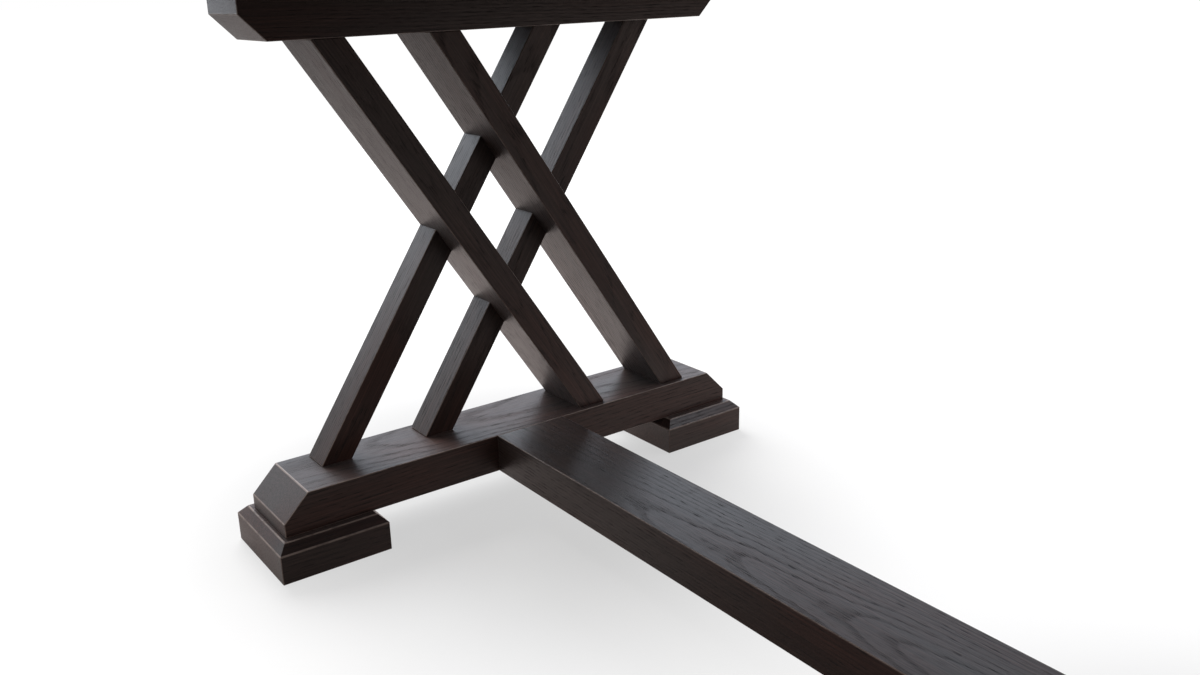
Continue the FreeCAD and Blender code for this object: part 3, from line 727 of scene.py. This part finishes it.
def makePad(corner, spec):
    # side: the radius less the ribs' depth times half of (one less the cosine of ribs times angle)
    # its two edges are quarter circles
    low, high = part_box(f"{corner}_leveller_pad")
    centre = ((low.x + high.x) / 2, (low.y + high.y) / 2, 0.0)
    columns = spec["columns"]
    angle = np.linspace(0, 2 * np.pi, columns, endpoint=False)
    outer = (high.x - low.x) / 2
    ribbed = outer - spec["ribDepth"] * (0.5 - 0.5 * np.cos(spec["ribs"] * angle))
    edge = spec["edge"]
    inner = outer - edge
    arc = np.linspace(0, math.pi / 2, spec["edgeRows"])
    rim = inner - spec["rimWidth"]
    sunk = high.z - spec["rimDrop"]
    radius, height = stackStations([
        (0.0, low.z),
        *zip(inner + edge * np.sin(arc[:-1]), low.z + edge - edge * np.cos(arc[:-1])),
        (ribbed, low.z + edge),
        (ribbed, high.z - edge),
        *zip(inner + edge * np.cos(arc[1:]), high.z - edge + edge * np.sin(arc[1:])),
        (rim, high.z),
        (rim - spec["rimDrop"], sunk),
        (spec["hubRadius"] + spec["rimDrop"], sunk),
        (spec["hubRadius"], high.z),
        (spec["socketRadius"], high.z),
        (spec["socketRadius"], high.z - spec["socketDepth"]),
        (0.0, high.z - spec["socketDepth"]),
    ], columns)
    name = f"{corner}_ribbed_pad"
    mesh = meshOf(name, turnedPoints(radius, height, centre), ringFaces(*radius.shape))
    addPiece(name, mesh, hardware["nylon"], f"{corner}_pad", f"{corner}_leveller_pad")


for corner in ("left_front", "left_back", "right_front", "right_back"):
    makeStud(corner, levellerStud)
    makePad(corner, levellerPad)
print("levellers made")


# Cover plugs over the stretcher bolts, slightly domed

boltCover = {
    "columns": 64,
    "dome": 0.0007,  # metres that the middle stands proud of the rail
    "edge": 0.0008,
    "domeRows": 6,
}


def makeCovers(side, spec):
    # face: dome times one less the radius share squared
    covers = f"{side}_bolt_covers"
    low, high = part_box(covers)
    outward = {"left": -1.0, "right": 1.0}[side]
    radius = (high.z - low.z) / 2
    thickness = high.x - low.x
    face = {"left": low.x, "right": high.x}[side]
    share = np.linspace(1.0, 0.0, spec["domeRows"])
    stations = stackStations([
        (0.0, -thickness),
        (radius, -thickness),
        (radius, -spec["edge"]),
        *zip((radius - spec["edge"]) * share, spec["dome"] * (1 - share ** 2)),
    ], spec["columns"])
    axes = np.column_stack([alongZ, outward * alongY, outward * alongX])
    plugs = [
        turnedPoints(*stations, (face, across, (low.z + high.z) / 2), axes)
        for across in (low.y + radius, high.y - radius)
    ]
    faces = ringFaces(*stations[0].shape)
    name = f"{side}_cover_plugs"
    mesh = meshOf(name, np.concatenate(plugs), np.concatenate([faces, faces + len(plugs[0])]))
    addPiece(name, mesh, woodMaterials[covers], "root", covers)


for side in ("left", "right"):
    makeCovers(side, boltCover)
print("cover plugs made")


# Floor, lamps and world

studioFloor = {
    "radius": 70.0,  # metres
    "drop": 0.0002,  # metres under the feet, so that no two faces share a plane
    "rings": 40,
    "growth": 3,  # power of a ring's share that its radius follows
    "columns": 96,
    "bounce": (0.13, 0.13, 0.13, 1.0),  # share of the lamps' light that the floor gives back
    "reflectedFrom": (0.25, 0.30, 0.0),  # a place beside a trestle, metres outwards and backwards, where the painted reflection is brightest
    "bounceReflected": (0.235, 0.21, 0.20, 1.0),  # the floor's bounce as reflections see it near that place, a painted reflection brighter than the plain bounce
    "bounceFade": (1.0, 2.2),  # metres from there over which it turns into the plain bounce
    "glowSeen": 0.58,  # share of white in the floor's painted glow near a trestle, a painted shade around it
    "nearFade": (0.22, 0.68),  # metres from a trestle's middle over which the painted glow grows lighter
    "glowBetween": 0.86,  # the share of white after that
    "farFade": (1.2, 4.0),  # metres from a trestle's middle over which the floor turns plain white
    "glowReflected": (0.84, 0.14),  # shares of white in the floor's painted reflection, at that place and far off
    "reflectedFade": (0.30, 0.95),  # metres from there over which the first turns into the second
    # the warm tint of the floor's painted reflection
    "reflectedTint": (1.0, 0.87, 0.83, 1.0),
    "seenTint": (1.0, 1.0, 1.0, 1.0),
}


def spanOf(tree, vector):
    return addNode(tree, "ShaderNodeVectorMath", {0: vector}, operation="LENGTH").outputs["Value"]


def floorShading(tree, spec):
    # the picture, reflections and the light on the table each take their own light from the floor
    path = tree.nodes.new("ShaderNodeLightPath").outputs
    mirrored = calc(tree, "MAXIMUM", path["Is Glossy Ray"], path["Is Transmission Ray"])
    where = tree.nodes.new("ShaderNodeTexCoord").outputs["Object"]
    low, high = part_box("right_bottom_rail")
    trestle = ((low.x + high.x) / 2, 0.0, 0.0)

    # painted light: the camera sees the floor glow over its real shadows, dimmer near each trestle, a
    # painted shade around it, and brighter away from the two trestles
    distance = spanOf(tree, calcVector(tree, "SUBTRACT", calcVector(tree, "ABSOLUTE", where), trestle))
    between = spec["glowBetween"]
    seen = calc(tree, "ADD", remap(tree, distance, *spec["nearFade"], spec["glowSeen"], between),
                remap(tree, distance, *spec["farFade"], 0.0, 1.0 - between))

    # painted reflection: for reflections the floor glows and gives back more light, most of it beside a
    # trestle, so that faces mirroring that place look brighter
    lengthwise = calcVector(tree, "ABSOLUTE", calcVector(tree, "MULTIPLY", where, (1.0, 0.0, 0.0)))
    beside = calcVector(tree, "MULTIPLY_ADD", where, (0.0, 1.0, 0.0), lengthwise)
    beside = spanOf(tree, calcVector(tree, "SUBTRACT", beside, np.add(trestle, spec["reflectedFrom"])))
    reflected = remap(tree, beside, *spec["reflectedFade"], *spec["glowReflected"])
    reflected = calc(tree, "MULTIPLY", mirrored, reflected)
    strength = calc(tree, "MULTIPLY_ADD", path["Is Camera Ray"], seen, reflected)
    tint = mixColour(tree, path["Is Camera Ray"], spec["reflectedTint"], spec["seenTint"])
    glow = addNode(tree, "ShaderNodeEmission", {"Color": tint, "Strength": strength}).outputs[0]
    nearby = calc(tree, "MULTIPLY", mirrored, remap(tree, beside, *spec["bounceFade"], 1.0, 0.0))
    bounce = mixColour(tree, nearby, spec["bounce"], spec["bounceReflected"])
    matt = addNode(tree, "ShaderNodeBsdfDiffuse", {"Color": bounce}).outputs[0]
    return addNode(tree, "ShaderNodeAddShader", {0: matt, 1: glow}).outputs[0]


def makeFloor(spec):
    # a disc whose radius grows with a power of the ring's share, so that rings crowd under the table
    reach = spec["radius"] * np.linspace(0.0, 1.0, spec["rings"]) ** spec["growth"]
    radius, height = stackStations([(far, -spec["drop"]) for far in reach], spec["columns"])
    points = turnedPoints(radius, height, (0.0, 0.0, 0.0))
    mesh = meshOf("studio_floor", points, ringFaces(*radius.shape)[:, ::-1])
    closeMesh(mesh, solid=False)
    floor = bpy.data.objects.new("studio_floor", mesh)
    scene.collection.objects.link(floor)
    material = bpy.data.materials.new("studio_floor")
    material.use_nodes = True
    tree = material.node_tree
    tree.nodes.clear()
    above = floorShading(tree, spec)
    # seen from below, the floor is clear, so that the table's underside shows
    clear = tree.nodes.new("ShaderNodeBsdfTransparent").outputs[0]
    below = tree.nodes.new("ShaderNodeNewGeometry").outputs["Backfacing"]
    shown = addNode(tree, "ShaderNodeMixShader", {0: below, 1: above, 2: clear}).outputs[0]
    addNode(tree, "ShaderNodeOutputMaterial", {"Surface": shown})
    mesh.materials.append(material)


studioWorld = {
    "ambient": (0.335, 0.30, 0.285, 1.0),
    "backdrop": (1.0, 1.0, 1.0, 1.0),
    "backdropStrength": 0.2,
}


def makeWorld(spec):
    world = bpy.data.worlds.new("studio")
    scene.world = world
    world.use_nodes = True
    tree = world.node_tree
    tree.nodes.clear()
    path = tree.nodes.new("ShaderNodeLightPath").outputs
    ambient = addNode(tree, "ShaderNodeBackground", {"Color": spec["ambient"], "Strength": 1.0})
    shown = addNode(tree, "ShaderNodeBackground", {"Color": spec["backdrop"]})
    reflected = calc(tree, "MAXIMUM", path["Is Glossy Ray"], path["Is Transmission Ray"])
    strength = calc(tree, "MULTIPLY", reflected, spec["backdropStrength"])
    tree.links.new(calc(tree, "MAXIMUM", path["Is Camera Ray"], strength), shown.inputs["Strength"])
    seen = calc(tree, "MAXIMUM", path["Is Camera Ray"], reflected)
    mixed = addNode(tree, "ShaderNodeMixShader", {0: seen, 1: ambient.outputs[0], 2: shown.outputs[0]})
    addNode(tree, "ShaderNodeOutputWorld", {"Surface": mixed.outputs[0]})


studioLamps = {
    "backdropSoftbox": {
        "place": (-3.0, 1.7, 1.75), "aim": (-0.2, 0.0, 0.1), "size": (6.6, 2.2),
        "watts": 99.0, "colour": (0.785, 0.875, 1.0), "reflected": True,
    },
    "backKey": {
        "place": (-3.4, 0.5, 2.6), "aim": (-0.4, 0.0, 0.0), "size": (2.4, 2.0),
        "watts": 290.0, "colour": (1.0, 0.99, 0.97), "reflected": False,
    },
    "backLeftSoftbox": {
        "place": (-2.8, -1.1, 1.4), "aim": (-0.6, 0.0, 0.4), "size": (2.0, 1.8),
        "watts": 27.0, "colour": (0.86, 0.90, 0.97), "reflected": True,
    },
    "leftSoftbox": {
        "place": (-0.3, -3.1, 1.0), "aim": (-0.4, 0.0, 0.3), "size": (2.6, 1.6),
        "watts": 14.0, "colour": (1.0, 0.95, 0.92), "reflected": True,
    },
    "overheadSoftbox": {
        "place": (-0.1, 0.9, 3.2), "aim": (-0.1, 0.9, 0.0), "size": (5.0, 4.6),
        "watts": 60.0, "colour": (0.98, 0.97, 1.0), "reflected": True,
    },
    "rightHighSoftbox": {
        "place": (0.7, 3.2, 2.7), "aim": (-0.6, 0.3, 0.05), "size": (2.4, 1.6),
        "watts": 44.0, "colour": (0.86, 0.90, 1.0), "reflected": True,
    },
    "rightSoftbox": {
        "place": (2.6, 2.4, 0.9), "aim": (-0.4, 0.2, 0.2), "size": (2.0, 1.4),
        "watts": 13.0, "colour": (1.0, 0.80, 0.74), "reflected": True,
    },
}  # places in metres


def makeLamp(name, spec):
    data = bpy.data.lights.new(name, "AREA")
    data.shape = "RECTANGLE"
    data.size, data.size_y = spec["size"]
    data.energy = spec["watts"]
    data.color = spec["colour"]
    lamp = bpy.data.objects.new(name, data)
    lamp.location = spec["place"]
    facing = Vector(spec["aim"]) - Vector(spec["place"])
    lamp.rotation_euler = facing.to_track_quat("-Z", "Y").to_euler()
    lamp.visible_camera = False
    lamp.visible_glossy = spec["reflected"]
    scene.collection.objects.link(lamp)


makeFloor(studioFloor)
makeWorld(studioWorld)
for name, spec in studioLamps.items():
    makeLamp(name, spec)
print("floor, world and lamps set")
